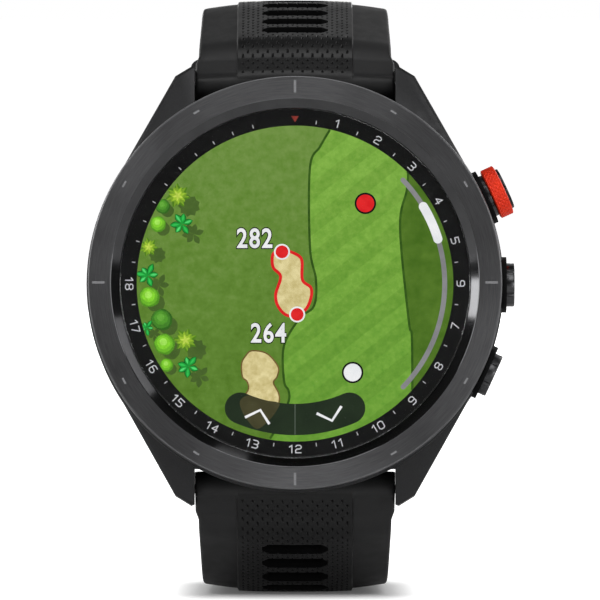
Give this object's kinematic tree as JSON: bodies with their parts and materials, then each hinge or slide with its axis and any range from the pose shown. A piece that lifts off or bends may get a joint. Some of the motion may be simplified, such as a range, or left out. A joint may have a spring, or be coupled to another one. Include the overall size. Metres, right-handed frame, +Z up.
{
  "type": "golf gps watch",
  "caption": "Round golf GPS watch with a touch display, metal bezel, side buttons and a silicone strap closed by a pin buckle.",
  "frame": {"origin": "centre of the sensor window's flat face, which rests on the wrist", "axes": "+X to 3 o'clock, the dial faces -Y and leans back 5.5 degrees, +Z up; the strap loop lies behind the case, towards +Y"},
  "size_m": [0.0482, 0.0718, 0.0679],
  "materials": {
    "bezel_metal": "circular brush under a dark gunmetal coating, mirror-cut inner edge",
    "case_metal": "fine bead blast, dark grey anodise",
    "cover_polymer": "fine matt texture",
    "lens_glass": "polished and coated, clear",
    "ring_print": "black print on the glass with light grey numerals and ticks",
    "display": "lit colour panel with a golf hole map",
    "window_glass": "dark tinted, polished",
    "seal_rubber": "matt",
    "bright_steel": "ground",
    "black_steel": "black coating, satin",
    "ring_red": "red anodise with a cut diamond knurl",
    "contact_gold": "plated",
    "circuit_board": "solder mask",
    "inner_polymer": "plain moulding",
    "battery_foil": "foil pouch",
    "strap_silicone": "matt silicone with a dimpled raised centre"
  },
  "bodies": {
    "case": {"bezel": "bezel_metal", "lens": "lens_glass", "dial_ring": "ring_print", "lens_gasket": "seal_rubber", "display_panel": "display", "case_shell": "case_metal", "back_cover": "cover_polymer", "back_gasket": "seal_rubber", "sensor_window": "window_glass", "case_screws": "bright_steel", "charge_socket": "cover_polymer", "charge_contacts": "contact_gold", "sensor_board": "circuit_board", "mid_frame": "inner_polymer", "main_board": "circuit_board", "battery": "battery_foil", "vibration_motor": "bright_steel", "gps_antenna": "contact_gold", "button_switches": "inner_polymer", "button_spring_top": "bright_steel", "button_spring_middle": "bright_steel", "button_spring_lower": "bright_steel"},
    "upper_strap": {"upper_strap": "strap_silicone", "bar_tube_upper": "bright_steel", "bar_spring_upper": "bright_steel", "keeper_fixed": "strap_silicone", "buckle_bar": "black_steel"},
    "lower_strap": {"lower_strap": "strap_silicone", "bar_tube_lower": "bright_steel", "bar_spring_lower": "bright_steel"},
    "latch_upper": {"bar_latch_upper": "bright_steel"},
    "latch_lower": {"bar_latch_lower": "bright_steel"},
    "button_top": {"button_top": "black_steel", "button_ring": "ring_red", "button_end_cap": "black_steel", "button_seal_top": "seal_rubber", "button_clip_top": "bright_steel"},
    "button_middle": {"button_middle": "black_steel", "button_seal_middle": "seal_rubber", "button_clip_middle": "bright_steel"},
    "button_lower": {"button_lower": "black_steel", "button_seal_lower": "seal_rubber", "button_clip_lower": "bright_steel"},
    "keeper_free": {"keeper_free": "strap_silicone"},
    "buckle_frame": {"buckle_frame": "black_steel"},
    "buckle_tongue": {"buckle_tongue": "black_steel"}
  },
  "joints": [
    {"name": "upper_strap_hinge", "type": "hinge", "parent": "case", "child": "upper_strap", "pos_m": [0, -0.00238, 0.02324], "axis": [1, 0, 0], "range_deg": [0, 60]},
    {"name": "lower_strap_hinge", "type": "hinge", "parent": "case", "child": "lower_strap", "pos_m": [0, -0.00677, -0.02235], "axis": [-1, 0, 0], "range_deg": [0, 60]},
    {"name": "buckle_frame_hinge", "type": "hinge", "parent": "upper_strap", "child": "buckle_frame", "pos_m": [0, 0.03871, 0.00304], "axis": [1, 0, 0], "range_deg": [-40, 40]},
    {"name": "buckle_tongue_hinge", "type": "hinge", "parent": "buckle_frame", "child": "buckle_tongue", "pos_m": [0, 0.03871, 0.00304], "axis": [1, 0, 0], "range_deg": [0, 70]},
    {"name": "keeper_free_slide", "type": "hinge", "parent": "upper_strap", "child": "keeper_free", "pos_m": [0, 0.01631, 0.00854], "axis": [1, 0, 0], "range_deg": [-5, 35]},
    {"name": "latch_upper_slide", "type": "slide", "parent": "upper_strap", "child": "latch_upper", "axis": [-1, 0, 0], "range_m": [0, 0.0014], "stiffness_N_per_m": 900, "springref_m": -0.001, "deforming": ["bar_spring_upper"]},
    {"name": "latch_lower_slide", "type": "slide", "parent": "lower_strap", "child": "latch_lower", "axis": [-1, 0, 0], "range_m": [0, 0.0014], "stiffness_N_per_m": 900, "springref_m": -0.001, "deforming": ["bar_spring_lower"]},
    {"name": "button_top_press", "type": "slide", "parent": "case", "child": "button_top", "axis": [-0.9081, -0.0401, -0.4167], "range_m": [0, 0.0004], "stiffness_N_per_m": 1500, "springref_m": -0.0006, "deforming": ["button_spring_top"]},
    {"name": "button_middle_press", "type": "slide", "parent": "case", "child": "button_middle", "axis": [-1, 0, 0], "range_m": [0, 0.0004], "stiffness_N_per_m": 1500, "springref_m": -0.0006, "deforming": ["button_spring_middle"]},
    {"name": "button_lower_press", "type": "slide", "parent": "case", "child": "button_lower", "axis": [-0.9081, 0.0401, 0.4167], "range_m": [0, 0.0004], "stiffness_N_per_m": 1500, "springref_m": -0.0006, "deforming": ["button_spring_lower"]}
  ]
}
